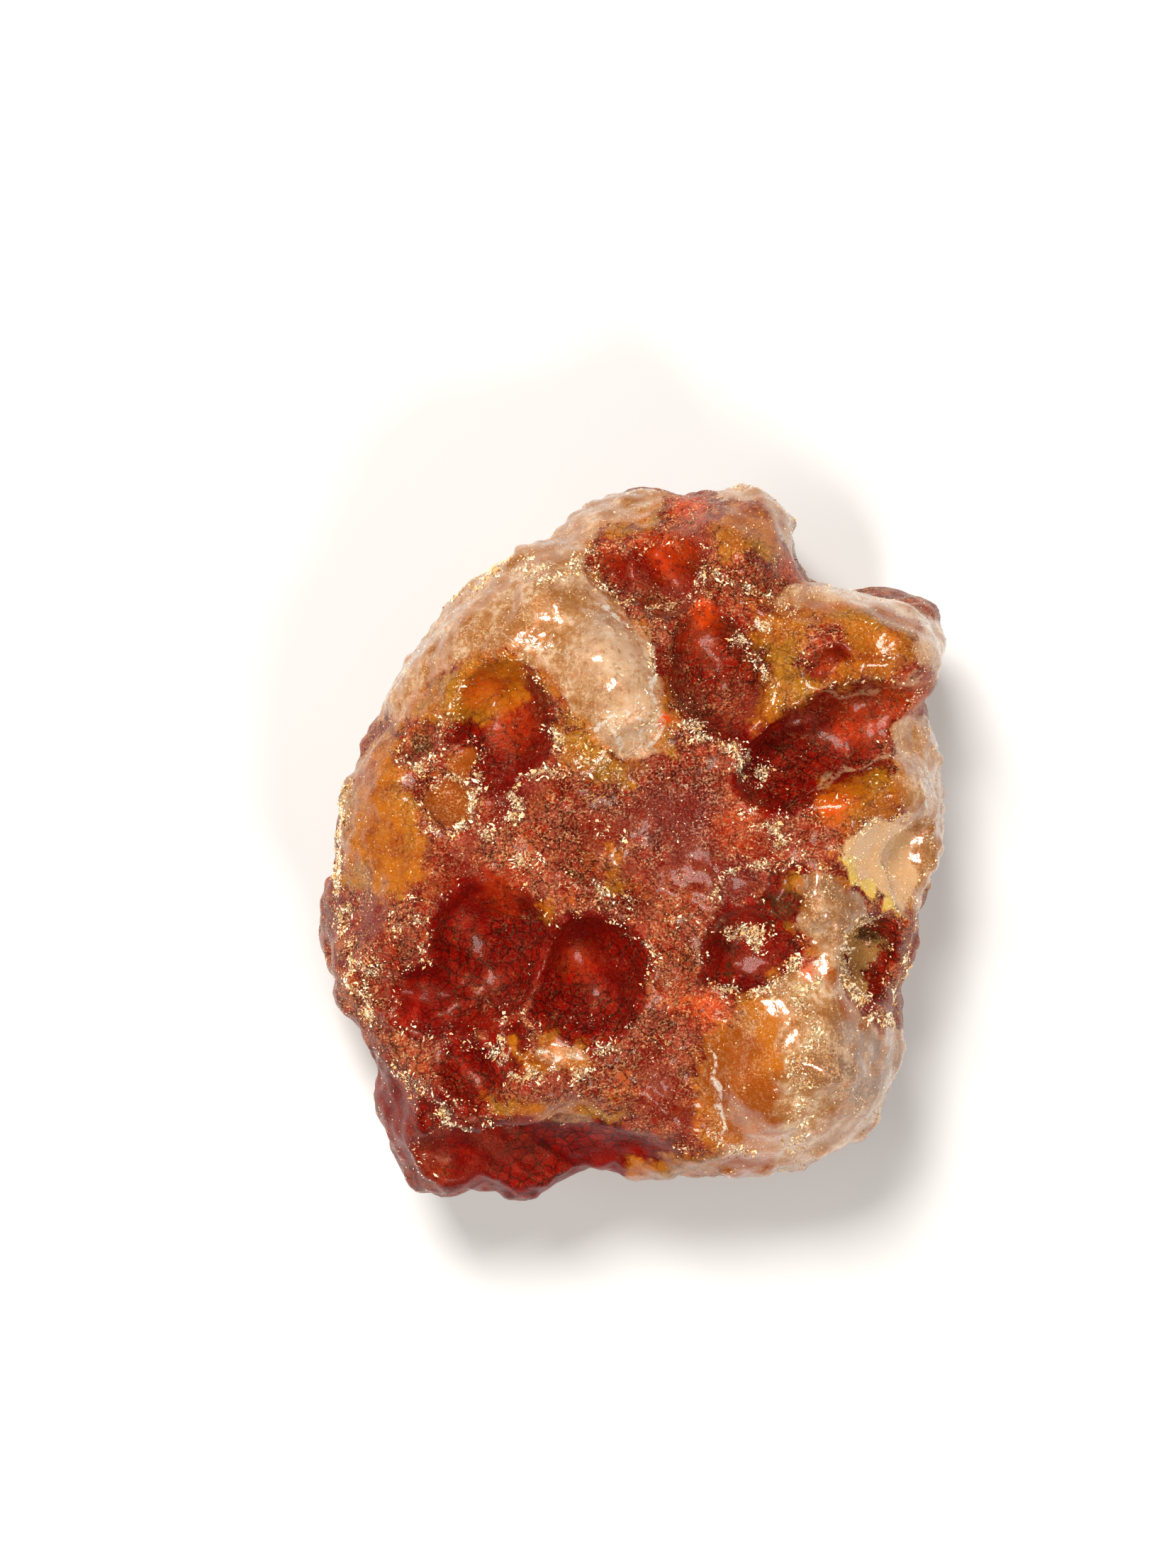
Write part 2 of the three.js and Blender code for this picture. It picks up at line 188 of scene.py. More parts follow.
def body(p):
    """The lump before it was eaten away: negative inside."""
    x, y, z = p.T
    outward = np.hypot(x, y) / edge_radius(np.degrees(np.arctan2(y, x)) % 360)
    up = z - MIDDLE_HEIGHT
    upward = np.abs(up) / np.where(up > 0, FACE_RISE, BACK_DROP)
    slab = (outward**FULLNESS + upward**FULLNESS) ** (1 / FULLNESS) - 1
    field = slab * FIELD_SCALE
    for at, radii, turn in SWELLS.values():
        dx = x - at[0]
        dy = y - at[1]
        c = math.cos(math.radians(turn))
        s = math.sin(math.radians(turn))
        swell = ellipsoid(dx * c + dy * s, dy * c - dx * s, z - at[2], radii)
        field = smooth_min(field, swell, SWELL_BLEND)
    return field


def mouth_of(inside, out):
    """Where the body's surface lies, coming in from outside to a point along a direction."""
    distances = np.arange(25, 0, -0.01)
    points = np.array(inside) + distances[:, None] * out
    first = np.argmax(body(points) <= 0)
    return points[first]


def bowl_of(facing, at, radii, turn, depth):
    """A hollow as the lower part of an ellipsoid: its axes, its middle and its radii."""
    bearing, height = map(math.radians, facing)
    level = math.cos(height)
    out = np.array([level * math.cos(bearing), level * math.sin(bearing), math.sin(height)])
    side = np.array([-math.sin(bearing), math.cos(bearing), 0])
    c = math.cos(math.radians(turn))
    s = math.sin(math.radians(turn))
    along = side * c + np.cross(out, side) * s
    across = np.cross(out, along)
    raised = 0.5 * depth
    high = depth + raised
    spread = 1 / math.sqrt(1 - (raised / high) ** 2)
    middle = mouth_of(at, out) + out * raised
    return np.stack([along, across, out]), middle, (radii[0] * spread, radii[1] * spread, high)


BOWLS = {name: bowl_of(*hollow) for name, hollow in HOLLOWS.items()}


def bowl_field(p, name):
    axes, middle, radii = BOWLS[name]
    u, v, w = ((p - middle) @ axes.T).T
    return ellipsoid(u, v, w, radii)


def waves(p, length, seed, count=18):
    """Smooth noise, about -1 to 1, whose swells are about this many millimetres apart."""
    rng = np.random.default_rng(seed)
    ways = rng.normal(size=(count, 3))
    ways /= np.linalg.norm(ways, axis=1, keepdims=True)
    lengths = length * rng.uniform(0.7, 1.5, count)
    total = np.zeros(len(p))
    for way, one in zip(ways, lengths):
        total += np.sin((p @ way) * (2 * math.pi / one) + rng.uniform(0, 2 * math.pi))
    return total / math.sqrt(count)


def lump(p):
    """The whole form, and the body before it was eaten away: negative inside."""
    bent = bend(p)
    whole = body(bent)
    field = whole.copy()
    for name, (_, middle, radii) in BOWLS.items():
        near = np.linalg.norm(bent - middle, axis=1) < max(radii) + 1
        if near.any():
            field[near] = smooth_max(field[near], -bowl_field(bent[near], name), RIM_BLEND)
    return smooth_max(field, -p[:, 2], FLAT_BLEND), whole


def relief(p):
    """The form with its finer relief of worn ripples, which are lower where it was eaten."""
    field, whole = lump(p)
    eaten = smoothstep(0.15, 0.8, -whole)
    height, spacing, seed = BROAD_RIPPLE
    broad = height * waves(p, spacing, seed)
    fine = sum(height * waves(p, spacing, seed) for height, spacing, seed in FINE_RIPPLES)
    off_the_flat = smoothstep(0.15, 0.6, p[:, 2])
    return field - off_the_flat * (broad * (1 - 0.5 * eaten) + fine)


def divided(source, cuts):
    """A copy of a mesh of loose triangles, merged, with each triangle divided."""
    bm = bmesh.new()
    bm.from_mesh(source)
    bmesh.ops.remove_doubles(bm, verts=bm.verts, dist=1e-6)
    bmesh.ops.triangulate(bm, faces=bm.faces)
    bmesh.ops.subdivide_edges(bm, edges=bm.edges, cuts=cuts, use_grid_fill=True)
    bmesh.ops.triangulate(bm, faces=bm.faces)
    mesh = bpy.data.meshes.new("copal_resin")
    bm.to_mesh(mesh)
    bm.free()
    return mesh


def draw_onto(points, edges, rounds, evening):
    """Moves points to the form's surface, and evens out their spacing along it."""
    a, b = edges.T
    reach = 0.02
    gentlest = 0.3
    longest = 0.6
    corners = np.array([(1, -1, -1), (-1, -1, 1), (-1, 1, -1), (1, 1, 1)])
    degree = np.bincount(a, minlength=len(points)) + np.bincount(b, minlength=len(points))
    for _ in range(rounds):
        samples = np.stack([relief(points + corner * reach) for corner in corners])
        slope = samples.T @ corners / (4 * reach)
        steep = np.maximum(np.linalg.norm(slope, axis=1), gentlest)
        normal = slope / steep[:, None]
        step = np.clip(samples.mean(0) / steep, -longest, longest)
        points = points - normal * step[:, None]
        if evening:
            total = np.zeros_like(points)
            for axis in range(3):
                total[:, axis] = np.bincount(a, points[b, axis], len(points))
                total[:, axis] += np.bincount(b, points[a, axis], len(points))
            pull = total / degree[:, None] - points
            pull -= normal * (pull * normal).sum(1)[:, None]
            points = points + pull * evening
    return points, normal


mesh = divided(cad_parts["copal"].data, CUTS)
coordinates = np.empty(len(mesh.vertices) * 3)
mesh.vertices.foreach_get("co", coordinates)
edges = np.empty(len(mesh.edges) * 2, dtype=np.int64)
mesh.edges.foreach_get("vertices", edges)
edges = edges.reshape(-1, 2)
points, _ = draw_onto(coordinates.reshape(-1, 3) / MM, edges, EVENING_ROUNDS, 0.5)
points, normals = draw_onto(points, edges, LAST_ROUNDS, 0)
points[:, 2] = np.maximum(points[:, 2], 0)
mesh.vertices.foreach_set("co", (points * MM).ravel())
mesh.update()
mesh.polygons.foreach_set("use_smooth", [True] * len(mesh.polygons))

copal = bpy.data.objects.new("copal_resin", mesh)
bpy.context.scene.collection.objects.link(copal)
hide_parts("copal")
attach(copal, "root")


# ---- The lump: where its wear and stains lie ----
# The worn swells are frosted windows into pale honey resin. Between them lies a dark red, crackled
# crust, thin and amber beside the windows, and pale dust gathers along the rims. Each is kept on
# the mesh as a share from 0 to 1, apart from the distance to the nearest chip's edge, in mm.

# Where the wear has cut through the crust, as outlines on the face.
WINDOWS = {
    "shoulder": [
        (1.0, 17.0), (1.1, 15.8), (0.4, 14.9), (-0.6, 15.1), (-1.8, 14.6), (-2.3, 13.6),
        (-2.2, 12.4), (-1.3, 11.4), (-0.3, 10.4), (0.6, 9.3), (1.0, 7.8), (1.4, 5.6), (1.1, 4.3),
        (0.1, 3.5), (-1.3, 4.2), (-2.4, 5.1), (-3.4, 6.2), (-4.4, 7.7), (-5.8, 8.8),
        (-7.1, 8.8), (-8.5, 8.4), (-9.8, 7.3), (-11.0, 5.6), (-14.0, 6.0), (-12.0, 10.0),
        (-8.0, 14.0), (-4.0, 17.5),
    ],
    "top rim": [
        (3.9, 16.1), (5.8, 15.9), (6.6, 14.6), (7.2, 13.2), (8.9, 12.2), (10.0, 12.6),
        (8.0, 15.5), (6.0, 18.0), (4.0, 18.0),
    ],
    "nose rim": [
        (6.2, 10.9), (7.2, 11.9), (9.2, 12.2), (11.4, 11.8), (13.4, 11.0), (16.0, 9.6),
        (15.5, 7.6), (13.2, 7.9), (12.7, 8.9), (13.1, 10.0), (12.0, 10.6), (9.8, 10.9),
        (8.0, 10.5),
    ],
    "right margin": [
        (12.2, 5.4), (13.3, 6.0), (16.0, 5.6), (16.0, -3.4), (13.4, -3.5), (12.0, -2.9),
        (11.2, -2.4), (10.0, -1.1), (9.3, -0.2), (10.6, 1.0), (12.2, 1.2), (11.8, 3.0),
    ],
    "saddle": [
        (7.3, -1.5), (8.9, -1.4), (10.3, -2.6), (10.6, -3.6), (9.9, -4.6), (9.7, -6.4),
        (8.4, -5.6), (7.5, -3.9),
    ],
    "lower corner": [
        (6.0, -7.0), (7.6, -5.6), (8.6, -5.4), (9.4, -6.6), (10.4, -8.0), (11.6, -8.9),
        (14.0, -9.0), (13.6, -16.0), (4.2, -17.5), (3.9, -14.6), (3.1, -13.2), (3.0, -10.2),
        (3.8, -8.8), (5.0, -7.6),
    ],
    "shelf chip": [(-5.1, -9.5), (-3.4, -9.3), (-2.2, -9.9), (-2.4, -10.4), (-4.8, -10.3)],
}  # fmt: skip
# Where the crust is thin enough for the amber inside to show through it.
AMBERS = {
    "over the amber bowl": [
        (-10.4, 7.4), (-7.0, 8.8), (-5.6, 8.6), (-4.8, 7.6), (-5.2, 6.4), (-6.8, 5.6),
        (-8.4, 5.6), (-9.6, 5.4), (-11.0, 5.8),
    ],
    "under the tongue": [
        (-4.0, 5.4), (-3.0, 5.4), (-1.4, 4.2), (0.0, 3.3), (-0.6, 2.6), (-2.2, 2.9),
        (-3.5, 3.3),
    ],
    "top": [(-1.6, 15.0), (0.9, 15.7), (1.4, 15.0), (0.5, 14.4), (-0.4, 14.9), (-1.4, 14.3)],
    "nose": [
        (5.4, 10.9), (7.4, 11.0), (9.6, 11.4), (12.0, 11.0), (13.2, 9.9), (12.8, 8.1),
        (11.0, 7.5), (8.6, 7.1), (6.8, 5.8), (5.4, 5.0), (5.6, 7.0), (6.1, 8.2), (5.2, 9.6),
    ],
    "corner": [
        (2.9, -8.8), (4.6, -8.0), (5.8, -7.2), (6.6, -8.4), (6.7, -15.6), (4.2, -17.0),
        (2.9, -13.6),
    ],
    "left flank": [
        (-14.4, 3.6), (-11.6, 5.4), (-10.8, 2.4), (-9.8, 0.4), (-9.8, -1.4), (-11.2, -2.8),
        (-14.0, -2.0),
    ],
    "lip": [(8.6, 2.6), (11.4, 3.4), (12.4, 2.6), (12.2, 1.2), (9.4, 0.4), (8.4, 1.2)],
    "foot": [
        (-7.2, -11.8), (-1.6, -12.1), (0.2, -12.7), (-0.8, -13.2), (-6.4, -12.8),
    ],
    "lower edge": [(-0.6, -14.9), (4.2, -14.6), (4.2, -17.5), (-0.6, -17.4)],
    "lens": [(-1.5, -0.2), (-0.6, -0.2), (-0.5, -1.8), (-0.9, -2.4), (-1.5, -2.1)],
    "bead": [(-4.6, -2.7), (-4.0, -2.8), (-3.9, -3.6), (-4.5, -3.8)],
    "small pit": [(-6.3, -8.9), (-5.5, -8.8), (-5.3, -9.8), (-6.0, -10.2)],
    "knob": [
        (3.3, 14.6), (4.2, 15.8), (6.2, 15.6), (7.0, 13.8), (6.4, 12.8), (5.2, 13.4), (4.0, 12.9),
    ],
}  # fmt: skip
# Rims where pale crumbs of weathered resin have gathered: points along each, and its half width.
CRUMBS = [
    ([(-2.2, 13.6), (-1.8, 12.2), (-0.8, 11.4), (-0.2, 10.8)], 0.4),
    ([(-0.2, 10.8), (1.5, 10.9), (2.4, 11.8), (3.2, 12.5)], 0.2),
    ([(3.2, 12.5), (4.2, 12.1), (5.4, 11.6), (6.9, 11.0)], 0.3),
    ([(5.6, 10.2), (6.5, 9.7), (7.0, 10.6)], 0.45),
    ([(4.6, 9.4), (5.6, 8.6), (5.9, 7.6)], 0.3),
    ([(-4.0, 5.2), (-3.4, 4.0), (-2.2, 3.9), (-1.1, 3.3)], 0.55),
    ([(-5.9, 1.3), (-5.4, 2.8), (-4.4, 3.4), (-3.6, 2.9)], 0.35),
    ([(-10.6, 3.4), (-9.6, 3.1), (-9.3, 2.2)], 0.35),
    ([(-7.9, 4.7), (-7.1, 4.2), (-7.4, 3.1), (-7.6, 1.6)], 0.3),
    ([(-10.0, 0.7), (-9.0, 0.4), (-8.0, 0.6)], 0.3),
    ([(-8.0, 3.0), (-9.2, 3.3)], 0.3),
    ([(-7.2, 0.6), (-6.4, 0.0), (-5.2, -1.2)], 0.35),
    ([(2.2, 5.4), (4.2, 4.2), (6.0, 3.0)], 0.6),
    ([(-1.5, 0.9), (-1.0, 0.3)], 0.5),
    ([(-1.9, -1.9), (-1.4, -2.5), (-0.6, -2.6)], 0.25),
    ([(4.8, 1.6), (6.2, 0.6), (6.8, -0.2), (6.0, -0.7)], 0.5),
    ([(6.0, -0.8), (4.2, -1.5), (3.2, -2.8)], 0.3),
    ([(7.8, -0.8), (8.6, -1.4), (8.9, -2.2)], 0.35),
    ([(2.8, -5.4), (3.5, -6.5), (4.7, -7.0), (6.4, -6.8), (7.4, -5.5)], 0.25),
    ([(5.2, -4.2), (5.9, -4.3), (5.9, -4.9), (5.2, -4.8), (5.5, -4.5)], 0.6),
    ([(4.0, -4.2), (4.4, -4.5)], 0.3),
    ([(9.8, -5.9), (10.3, -7.5), (11.4, -8.4), (12.3, -8.9)], 0.35),
    ([(13.0, -4.6), (12.7, -6.2), (12.3, -7.5)], 0.25),
    ([(-6.2, -8.1), (-6.6, -9.4), (-6.2, -10.4)], 0.3),
    ([(-5.8, -10.8), (-4.0, -10.8), (-2.2, -10.8)], 0.5),
    ([(-2.0, -9.6), (-1.0, -9.4)], 0.3),
    ([(-12.8, -5.6), (-12.0, -5.9)], 0.6),
    ([(-11.6, -3.6), (-11.2, -4.0)], 0.5),
    ([(-10.6, -2.6), (-9.9, -5.2)], 0.3),
    ([(-11.4, -10.8), (-10.0, -11.8)], 0.45),
    ([(-9.2, -12.5), (-8.2, -13.4), (-7.0, -13.2)], 0.4),
    ([(3.6, -13.6), (5.2, -14.8)], 0.4),
    ([(7.4, -7.2), (8.2, -8.6), (7.2, -10.6), (7.6, -12.6), (7.2, -14.4)], 0.5),
    ([(8.6, -6.3), (7.0, -6.9)], 0.3),
    ([(-9.0, 11.6), (-5.6, 13.2), (-4.2, 12.4), (-2.6, 13.0)], 0.5),
    ([(0.4, 9.2), (0.9, 7.6)], 0.15),
    ([(-1.2, -3.6), (0.2, -4.6), (1.6, -6.4)], 0.15),
    ([(9.4, -0.2), (9.7, -0.5)], 0.4),
    ([(9.9, -4.2), (10.0, -5.6), (10.6, -7.0)], 0.5),
    ([(10.3, -3.8), (11.4, -3.6)], 0.3),
    ([(9.6, -4.6), (9.6, -6.4), (10.6, -7.4)], 0.4),
    ([(-13.9, 2.4), (-14.2, -0.8), (-13.9, -3.6), (-13.3, -6.2), (-12.6, -8.2)], 0.5),
    ([(12.0, 1.4), (11.2, 0.8), (10.2, 0.6)], 0.3),
]  # fmt: skip
# Places that differ from what is around them, each as a point, its reach and strength. Burgundy is
# a deeper red of the crust, and a painted glow stands for light that has gone through the resin
# and comes out. The dark spots are painted darker, most of them in pits; tan and khaki stain the
# pits. Pale and smoky are places in the windows; on the tongue, which faces away from the key, pale
# is painted light.
SPOTS = {
    "burgundy": [
        ((1.8, 1.2), 3.2, 1.0), ((-2.4, -9.0), 1.5, 1.0), ((4.6, -2.0), 1.8, 1.0),
        ((5.6, -6.2), 1.2, 1.0), ((-6.0, 2.6), 1.4, 1.0), ((-9.6, -8.4), 1.6, 1.0),
    ],
    "painted_glow": [
        ((1.7, 13.5), 1.5, 0.6), ((0.2, 14.1), 0.8, 0.5), ((-1.2, 13.4), 0.9, 0.3),
        ((3.2, 10.6), 1.0, 1.0), ((3.0, 9.2), 1.2, 0.3), ((8.6, 8.6), 0.9, 0.35),
        ((1.3, 5.6), 0.6, 1.2), ((12.4, 6.8), 1.6, 0.5), ((10.4, 5.6), 1.6, 0.4),
        ((2.4, 15.8), 1.1, 0.8), ((7.4, 12.9), 1.0, 0.6), ((-6.2, -2.2), 1.5, 0.35),
        ((-2.8, -5.6), 1.3, 0.25), ((9.2, 1.6), 1.1, 0.8),
        ((7.9, -5.8), 0.5, 0.9), ((3.2, -7.6), 1.3, 0.7), ((4.6, 0.9), 1.6, 0.35),
        ((-7.4, 7.2), 1.2, 0.4), ((-5.9, 5.4), 1.6, 0.4), ((1.9, -7.2), 1.1, 0.4),
    ],
    "dark_spot": [
        ((10.9, -4.4), 0.9, 1.0), ((-10.2, 4.5), 0.7, 0.8), ((6.7, -2.8), 1.5, 0.6),
        ((4.4, -5.7), 0.9, 0.5), ((5.4, 8.6), 0.7, 0.6), ((6.3, -3.9), 0.9, 0.5),
    ],
    "tan": [((-8.7, 1.9), 1.7, 1.0), ((-8.1, 3.7), 1.0, 1.0)],
    "khaki": [((10.6, -5.0), 1.5, 1.0), ((10.4, -6.6), 1.0, 0.8)],
    "pale": [
        ((0.0, 5.6), 2.6, 1.0), ((-1.0, 8.6), 2.4, 1.0), ((12.6, 10.4), 1.8, 1.0),
        ((9.4, 11.7), 1.5, 1.0), ((14.0, 9.0), 1.4, 1.0),
    ],
    "smoky": [((9.0, -3.0), 2.6, 0.6), ((10.8, -10.4), 3.4, 1.0)],
}  # fmt: skip
# The pale chip above the right pit, and its foot, along which a highlight is painted.
CHIP_OUTLINE = [
    (9.6, 0.4), (11.4, 1.0), (12.8, 0.8), (13.4, -1.6), (12.6, -3.1), (11.4, -2.6), (10.0, -1.2),
]  # fmt: skip
CHIP_FOOT = [(9.5, -0.4), (10.1, -1.6), (11.1, -2.6), (12.1, -3.1)]
# Small steps in the surface: the edges of chips, and of the shell-shaped one on the tongue. A
# highlight is painted along them too.
CHIP_EDGES = [
    [(-2.0, 5.3), (-0.5, 6.1), (0.2, 5.6), (0.8, 5.8)],
    [(-0.5, 6.1), (-1.2, 5.4), (-0.8, 4.5)],
    [(0.4, 5.6), (0.1, 4.5)],
    [(0.5, 9.8), (0.9, 8.2), (0.6, 7.1), (0.8, 6.0)],
    [(0.3, 4.0), (1.1, 5.1)],
    CHIP_FOOT,
    [(-5.2, 9.2), (-4.3, 9.0)],
    [(8.8, 6.9), (10.4, 6.9), (12.2, 7.3), (13.0, 7.7)],
    [(8.2, 2.4), (9.4, 3.2), (11.0, 3.6), (11.8, 3.9)],
    [(-1.6, 10.8), (-0.6, 10.2)],
    [(3.6, -10.0), (3.7, -12.6), (4.2, -13.6)],
    [(-4.6, -9.8), (-2.6, -10.0)],
    [(13.4, 2.8), (13.6, 1.0)],
]  # fmt: skip


def distance_to_path(path, xy, closed=False, signed=False):
    """How far each point is from a path of straight pieces, below 0 to the path's right."""
    ends = path[1:] + path[:1] if closed else path[1:]
    nearest = np.full(len(xy), 1e9)
    for start, end in zip(path, ends):
        side = np.subtract(end, start)
        from_start = xy - start
        t = np.clip(from_start @ side / (side @ side), 0, 1)
        distance = np.linalg.norm(from_start - t[:, None] * side, axis=1)
        if signed:
            left = side[0] * from_start[:, 1] - side[1] * from_start[:, 0]
            distance = np.copysign(distance, left)
        nearest = np.where(np.abs(distance) < np.abs(nearest), distance, nearest)
    return nearest


def inside_of(outline, xy, soft):
    """1 well inside an outline and 0 well outside, with a soft edge."""
    crossings = np.zeros(len(xy), dtype=int)
    for (x0, y0), (x1, y1) in zip(outline, outline[1:] + outline[:1]):
        if y1 != y0:
            reach_x = x0 + (xy[:, 1] - y0) * (x1 - x0) / (y1 - y0)
            crossings += ((y0 > xy[:, 1]) != (y1 > xy[:, 1])) & (xy[:, 0] < reach_x)
    distance = distance_to_path(outline, xy, closed=True)
    return smoothstep(-soft, soft, np.where(crossings % 2 == 1, distance, -distance))


def spot(xy, at, radius):
    """1 at the middle of a round spot, falling to 0 at its edge."""
    return np.clip(1.6 * (1 - np.linalg.norm(xy - at, axis=1) / radius), 0, 1)


# The bowls whose crust is smooth and deep red, and the steep band at the lump's foot, with its
# corner, which is as smooth.
SMOOTH_BOWLS = [
    "top bowl", "top pit", "upper bowl", "nose pit", "groove", "groove foot", "right pit",
    "plugged bowl", "dark notch", "deep bowl", "left bowl", "left trough", "small bowl",
    "small pit", "corner pit", "amber bowl",
]  # fmt: skip
FOOT_BAND = [(-9, -12.9), (-1, -13.2), (3, -15), (3, -18), (-9, -18)]
FOOT_CORNER = [(-13, -9), (-9.5, -12), (-6, -13), (-6, -18), (-13, -18)]

bent = bend(points)
wander = np.stack([waves(points, 1.4, 21), waves(points, 1.4, 22)], axis=1)
xy = points[:, :2] + 0.18 * wander
face = smoothstep(4.5, 8.5, points[:, 2] + 1.6 * waves(points, 5, 31))
shares = {}

eaten = smoothstep(0.1, 0.5, -body(bent))
bowl_distance = np.min([bowl_field(bent, name) for name in SMOOTH_BOWLS], axis=0)
in_bowl = smoothstep(0.55, 0.05, bowl_distance + 0.15 * waves(points, 0.8, 30))
# The bowls' walls that face +Y, towards the key light, keep less of the deep red and take the
# lighter crust of the plains: a painted lit side.
in_bowl *= 1 - 0.3 * smoothstep(0.0, 0.45, normals[:, 1])
in_bowl *= 1 - 0.4 * smoothstep(4.5, 6.5, xy[:, 1])
on_foot = inside_of(FOOT_BAND, xy, 0.8)
by_foot = inside_of(FOOT_CORNER, xy, 0.8)
in_trough = spot(xy, (-9.6, -6.2), 2.6)
shares["bowl"] = np.max([in_bowl, on_foot * face, 0.45 * by_foot], axis=0)
shares["clean"] = face * np.max([on_foot, 0.7 * by_foot, 0.6 * in_trough], axis=0)

# On the flanks and the back, too, the worn swells are windows and the crust keeps to the hollows.
worn = smoothstep(0.1, 0.9, waves(points, 10, 23)) * (1 - eaten)
on_face = np.max([inside_of(outline, xy, 0.4) for outline in WINDOWS.values()], axis=0)
shares["window"] = on_face * face + worn * (1 - face)
thin = smoothstep(-0.8, 0.6, waves(points, 8, 24)) * (1 - 0.8 * eaten)
on_face = np.max([inside_of(outline, xy, 0.6) for outline in AMBERS.values()], axis=0)
near_window = np.max([inside_of(outline, xy, 1.0) for outline in WINDOWS.values()], axis=0)
glow = 4 * near_window * (1 - near_window) * smoothstep(-0.9, 0.7, waves(points, 1.6, 29))
on_face = np.maximum(on_face, 0.8 * glow) * (1 - spot(xy, (8.6, 8.9), 1.8))
shares["amber"] = on_face * face + 0.8 * thin * (1 - face)

for name, spots in SPOTS.items():
    shares[name] = face * np.max([k * spot(xy, at, r) for at, r, k in spots], axis=0)

on_paths = [np.exp(-((distance_to_path(path, xy) / half) ** 2)) for path, half in CRUMBS]
all_distances = np.min([np.abs(bowl_field(bent, name)) for name in BOWLS], axis=0)
rim = np.exp(-(((all_distances - 0.15) / 0.3) ** 2)) * (1 - eaten)
clumps = smoothstep(-1.1, 0.9, waves(points, 0.9, 28))
rim *= 1 - 0.9 * on_foot
along_rims = np.maximum(np.max(on_paths, axis=0) * face, 0.5 * rim) * (0.3 + 0.9 * clumps)
plug = 1.6 * face * spot(xy, (5.5, -4.3), 0.75)
shares["crumbs"] = np.maximum(along_rims, plug)

to_chips = np.array([distance_to_path(path, xy, signed=True) for path in CHIP_EDGES])
nearest_chip = np.abs(to_chips).argmin(axis=0)
shares["to_chip_edge"] = np.where(face > 0.5, to_chips[nearest_chip, np.arange(len(xy))], 9)

shares["chip"] = face * inside_of(CHIP_OUTLINE, xy, 0.4)
# Along the chip's foot, a yellow highlight is painted: its broken face catching light.
crescent = distance_to_path(CHIP_FOOT, xy)
shares["painted_foot_highlight"] = np.exp(-((crescent / 0.4) ** 2)) * face * (0.5 + clumps)

clusters = smoothstep(0.0, 1.2, waves(points, 2.6, 26))
clusters *= smoothstep(-0.4, 0.8, waves(points, 0.9, 27))
shares["dust"] = (1 - 0.9 * shares["bowl"]) * (0.4 + clusters) + 1.2 * shares["chip"]
shares["dust"] += 1.6 * shares["painted_foot_highlight"] + 1.2 * shares["window"] * clusters
shares["dust"] += 1.5 * shares["khaki"]

for name, values in shares.items():
    attribute = mesh.attributes.new(name, "FLOAT", "POINT")
    attribute.data.foreach_set("value", values.astype(np.float32))


# ---- The lump: its material ----
# One resin, clear amber inside and frosted outside. What the eye reads as crust, amber, windows and
# dust is its surface colour and roughness. Light goes through it and is absorbed on the way, and
# some is sent back by fine cracks just below the surface.


def screen(red, green, blue):
    """A colour given as it looks on a screen, from 0 to 255, as Blender's linear values."""
    values = [c / 255 for c in (red, green, blue)]
    return tuple(c / 12.92 if c <= 0.04045 else ((c + 0.055) / 1.055) ** 2.4 for c in values)


class Maker:
    """Adds nodes to a tree. A value may be a number, a colour or another node's output."""

    def __init__(self, tree):
        self.tree = tree

    def add(self, kind, inputs, output=0, **settings):
        node = self.tree.nodes.new(kind)
        for key, value in settings.items():
            setattr(node, key, value)
        for key, value in inputs.items():
            socket = node.inputs[key]
            if isinstance(value, bpy.types.NodeSocket):
                self.tree.links.new(value, socket)
            elif socket.type == "RGBA":
                socket.default_value = (*value[:3], 1)
            else:
                socket.default_value = value
        return node.outputs[output]

    def share(self, name):
        return self.add("ShaderNodeAttribute", {}, "Fac", attribute_name=name)

    def math(self, operation, *values):
        return self.add("ShaderNodeMath", dict(enumerate(values)), operation=operation)

    def without(self, share):
        """What a share leaves of the whole."""
        return self.math("SUBTRACT", 1.0, share)

    def line(self, value, level, low, high, strength):
        """A thin line where a value passes a level."""
        off = self.math("ABSOLUTE", self.math("SUBTRACT", value, level))
        return self.step(off, low, high, strength, 0.0)

    def times(self, first, *others):
        for other in others:
            first = self.math("MULTIPLY", first, other)
        return first

    def step(self, value, low, high, start=0.0, end=1.0):
        """start below low and end above high, with a smooth step between."""
        inputs = {"Value": value, 1: low, 2: high, 3: start, 4: end}
        return self.add("ShaderNodeMapRange", inputs, interpolation_type="SMOOTHSTEP")

    def blend(self, share, a, b):
        """a where share is 0 and b where it is 1, as numbers."""
        return self.add("ShaderNodeMix", {0: share, 2: a, 3: b}, data_type="FLOAT")

    def paint(self, share, under, over):
        """over laid on under, as colours."""
        inputs = {0: share, 6: under, 7: over}
        return self.add("ShaderNodeMix", inputs, 2, data_type="RGBA")

    def noise(self, place, scale, detail=2.0, roughness=0.5, output="Fac"):
        inputs = {"Vector": place, "Scale": scale, "Detail": detail, "Roughness": roughness}
        return self.add("ShaderNodeTexNoise", inputs, output)

    def cells(self, place, scale, output="Distance", feature="F1"):
        inputs = {"Vector": place, "Scale": scale}
        return self.add("ShaderNodeTexVoronoi", inputs, output, feature=feature)

    def pick(self, place, scale):
        """A value from 0 to 1 for each cell."""
        return self.add("ShaderNodeSeparateColor", {0: self.cells(place, scale, "Color")}, 0)

    def wandering(self, place, scale, reach):
        """The place, shifted by noise."""
        shift = self.noise(place, scale, 1.0, output="Color")
        shift = self.add("ShaderNodeVectorMath", {0: shift, "Scale": reach}, operation="SCALE")
        return self.add("ShaderNodeVectorMath", {0: place, 1: shift}, operation="ADD")

    def shifted(self, value, noise, reach):
        """A value, moved up and down by noise."""
        return self.math("MULTIPLY_ADD", self.math("SUBTRACT", noise, 0.5), reach, value)

    def ragged(self, share, noise, reach, low, high):
        """A share with its edge broken up by noise."""
        return self.step(self.shifted(share, noise, reach), low, high)


